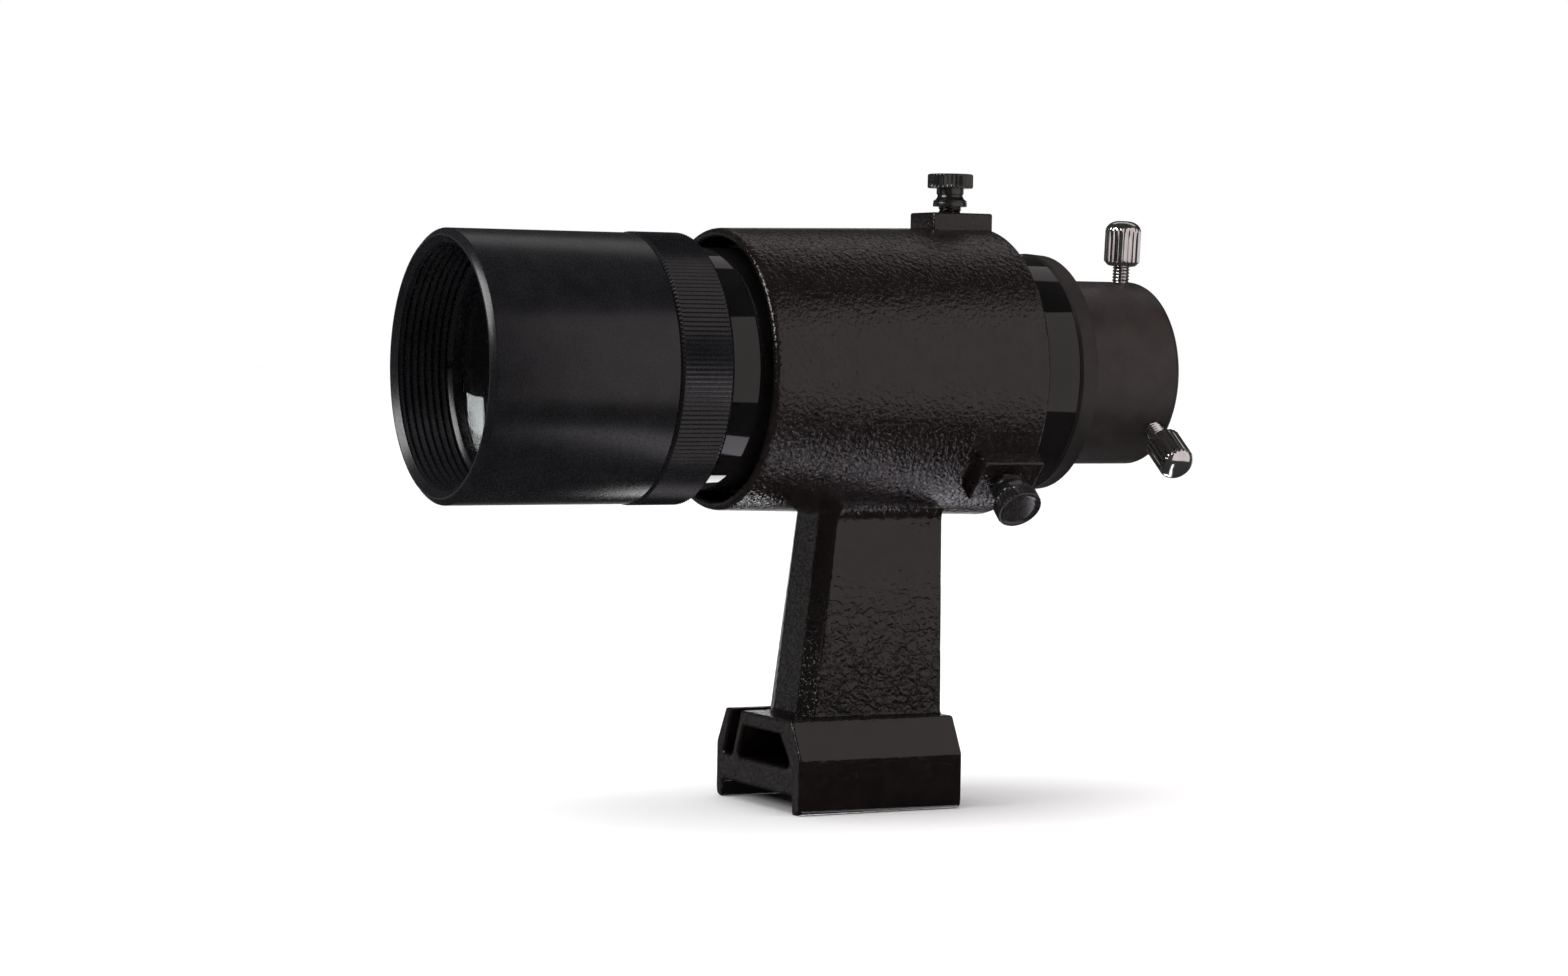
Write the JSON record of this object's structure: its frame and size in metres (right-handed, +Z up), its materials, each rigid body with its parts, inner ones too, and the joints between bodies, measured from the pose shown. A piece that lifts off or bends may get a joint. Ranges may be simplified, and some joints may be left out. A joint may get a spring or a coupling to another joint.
{
  "type": "finder scope",
  "caption": "Straight refracting finder scope: turning focus cell with lock ring, adjustable ring bracket on a stem, dovetail foot, eyepiece holder with clamp screws.",
  "frame": {"origin": "centre of the underside of the bracket's dovetail foot, below the middle of the bracket ring", "axes": "+Z up from the foot to the tube, +Y along the optical axis towards the eyepiece end, +X the side where the lower adjusting screw stands"},
  "size_m": [0.0685, 0.1681, 0.1368],
  "materials": {
    "bracket_paint": "gloss black orange-peel paint on cast metal",
    "gloss_tube": "high-gloss black lacquer",
    "cell_anodising": "satin black anodising, slightly cool",
    "matte_black": "matte black anti-reflection finish",
    "coated_glass": "polished glass with a dark green and violet coating",
    "spacer_metal": "bare turned metal",
    "seal_rubber": "smooth black rubber",
    "rear_ring_anodising": "fine matte black anodising",
    "holder_anodising": "satin warm black anodising",
    "screw_chrome": "bright chrome plating",
    "black_screw": "glossy black oxide",
    "tip_nylon": "white nylon",
    "pin_brass": "turned brass",
    "spring_steel": "drawn spring wire"
  },
  "bodies": {
    "bracket": {"bracket": "bracket_paint", "plunger_shell": "black_screw", "plunger_cap": "black_screw"},
    "o_ring": {"o_ring": "seal_rubber"},
    "tube": {"main_tube": "gloss_tube", "front_baffle": "matte_black", "rear_baffle": "matte_black", "rear_ring": "rear_ring_anodising", "eyepiece_holder": "holder_anodising"},
    "lens_group": {"crown_lens": "coated_glass", "lens_spacer": "spacer_metal", "flint_lens": "coated_glass"},
    "objective_cell": {"objective_cell": "cell_anodising", "lens_retaining_ring": "matte_black"},
    "lock_ring": {"lock_ring": "cell_anodising"},
    "top_clamp_stud": {"top_clamp_stud": "screw_chrome"},
    "top_clamp_knob": {"top_clamp_knob": "screw_chrome"},
    "side_clamp_stud": {"side_clamp_stud": "screw_chrome"},
    "side_clamp_knob": {"side_clamp_knob": "screw_chrome"},
    "top_adjuster_tip": {"top_adjuster_tip": "tip_nylon"},
    "top_adjuster_screw": {"top_adjuster_screw": "black_screw"},
    "side_adjuster_tip": {"side_adjuster_tip": "tip_nylon"},
    "side_adjuster_screw": {"side_adjuster_screw": "black_screw"},
    "plunger_spring": {"plunger_spring": "spring_steel"},
    "plunger_pin": {"plunger_pin": "pin_brass"}
  },
  "joints": [
    {"name": "tilt_by_top_screw", "type": "hinge", "parent": "bracket", "child": "o_ring", "pos_m": [0, -0.024, 0.0937], "axis": [0.7431, 0, -0.6691], "range_deg": [-0.93, 0.93]},
    {"name": "tilt_by_side_screw", "type": "hinge", "parent": "o_ring", "child": "tube", "pos_m": [0, -0.024, 0.0937], "axis": [0, 0, -1], "range_deg": [-0.93, 0.93]},
    {"name": "top_adjuster_travel", "type": "slide", "parent": "bracket", "child": "top_adjuster_tip", "axis": [0, 0, 1], "range_m": [-0.0006, 0.0006]},
    {"name": "top_adjuster_turn", "type": "hinge", "parent": "top_adjuster_tip", "child": "top_adjuster_screw", "pos_m": [0, 0.0256, 0.0937], "axis": [0, 0, 1], "range_deg": [-270, 270]},
    {"name": "side_adjuster_travel", "type": "slide", "parent": "bracket", "child": "side_adjuster_tip", "axis": [0.7431, 0, -0.6691], "range_m": [-0.0006, 0.0006]},
    {"name": "side_adjuster_turn", "type": "hinge", "parent": "side_adjuster_tip", "child": "side_adjuster_screw", "pos_m": [0, 0.0256, 0.0937], "axis": [0.7431, 0, -0.6691], "range_deg": [-270, 270]},
    {"name": "plunger_follows_top_screw", "type": "slide", "parent": "bracket", "child": "plunger_spring", "axis": [-0.7431, 0, -0.6691], "range_m": [-0.00082, 0.00082], "deforming": ["plunger_spring"]},
    {"name": "plunger_follows_side_screw", "type": "slide", "parent": "plunger_spring", "child": "plunger_pin", "axis": [-0.7431, 0, -0.6691], "range_m": [-0.00061, 0.00061]},
    {"name": "focus_travel", "type": "slide", "parent": "tube", "child": "lens_group", "axis": [0, -1, 0], "range_m": [0, 0.00601]},
    {"name": "focus_turn", "type": "hinge", "parent": "lens_group", "child": "objective_cell", "pos_m": [0, -0.0735, 0.0937], "axis": [0, -1, 0], "range_deg": [0, 2160]},
    {"name": "lock_ring_turn", "type": "hinge", "parent": "tube", "child": "lock_ring", "pos_m": [0, -0.0466, 0.0937], "axis": [0, 1, 0], "range_deg": [0, 120]},
    {"name": "top_clamp_travel", "type": "slide", "parent": "tube", "child": "top_clamp_stud", "axis": [0.0698, 0, 0.9976], "range_m": [-0.00315, 0.0014]},
    {"name": "top_clamp_turn", "type": "hinge", "parent": "top_clamp_stud", "child": "top_clamp_knob", "pos_m": [0, 0.0692, 0.0937], "axis": [0.0698, 0, 0.9976], "range_deg": [-1621, 721]},
    {"name": "side_clamp_travel", "type": "slide", "parent": "tube", "child": "side_clamp_stud", "axis": [0.7986, 0, -0.6018], "range_m": [-0.00315, 0.0014]},
    {"name": "side_clamp_turn", "type": "hinge", "parent": "side_clamp_stud", "child": "side_clamp_knob", "pos_m": [0, 0.0692, 0.0937], "axis": [0.7986, 0, -0.6018], "range_deg": [-1621, 721]}
  ],
  "couplings": [
    {"joint": "top_adjuster_turn", "follows": "tilt_by_top_screw", "ratio": 289.5},
    {"joint": "top_adjuster_travel", "follows": "tilt_by_top_screw", "m_per_rad": 0.03686},
    {"joint": "plunger_follows_top_screw", "follows": "tilt_by_top_screw", "m_per_rad": -0.049328},
    {"joint": "side_adjuster_turn", "follows": "tilt_by_side_screw", "ratio": 289.5},
    {"joint": "side_adjuster_travel", "follows": "tilt_by_side_screw", "m_per_rad": 0.03686},
    {"joint": "plunger_follows_side_screw", "follows": "tilt_by_side_screw", "m_per_rad": -0.03686},
    {"joint": "focus_travel", "follows": "focus_turn", "m_per_rad": 0.00015915},
    {"joint": "top_clamp_turn", "follows": "top_clamp_travel", "rad_per_m": 8976},
    {"joint": "side_clamp_turn", "follows": "side_clamp_travel", "rad_per_m": 8976}
  ]
}
